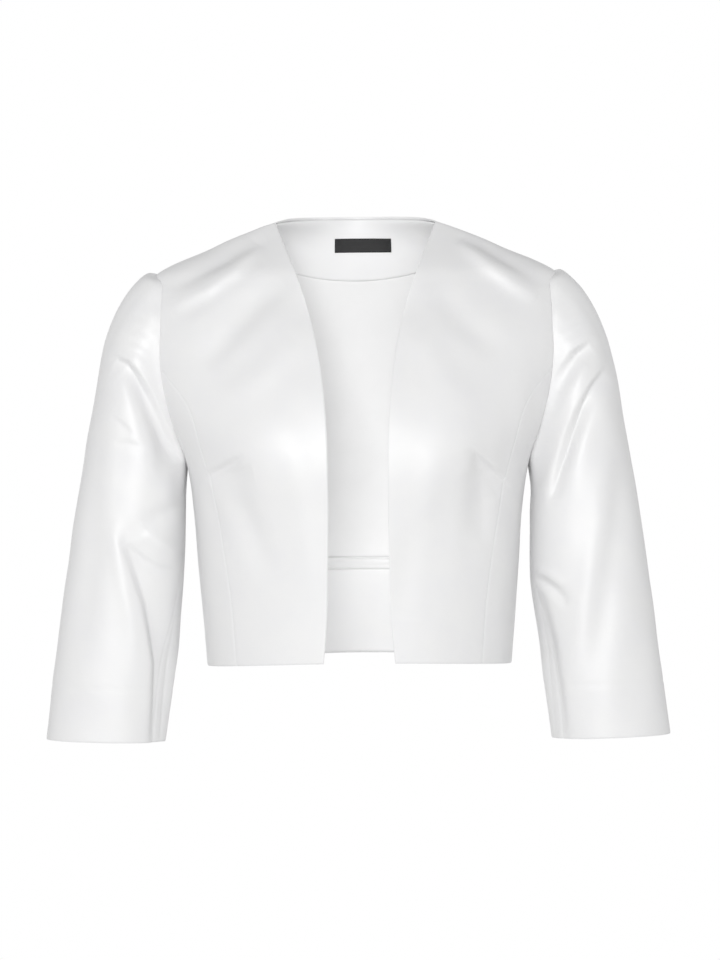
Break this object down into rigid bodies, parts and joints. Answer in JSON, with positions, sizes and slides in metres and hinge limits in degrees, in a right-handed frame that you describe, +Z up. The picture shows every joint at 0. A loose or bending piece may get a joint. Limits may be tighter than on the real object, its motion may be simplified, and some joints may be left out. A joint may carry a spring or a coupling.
{
  "type": "bolero jacket",
  "caption": "Cropped open-front bolero jacket in white duchess satin, collarless, with set-in three-quarter sleeves, as it hangs when worn.",
  "frame": {"origin": "on the centre line between the two shoulder seams at the neck, level with the front neck points", "axes": "+Z up, the open front faces -Y, +X is the wearer's left"},
  "size_m": [0.6079, 0.2242, 0.5197],
  "materials": {
    "satin": "white duchess satin, soft sheen",
    "lining": "white lining satin",
    "label": "black woven label, bare"
  },
  "bodies": {
    "root": {"front_left": "satin", "front_right": "satin", "side_left": "satin", "side_right": "satin", "back": "satin", "sleeve_left": "satin", "sleeve_right": "satin", "back_neck_facing": "satin", "back_lining": "lining", "back_waist_pleat": "lining", "back_hem_facing": "satin", "neck_label": "label"}
  },
  "joints": []
}
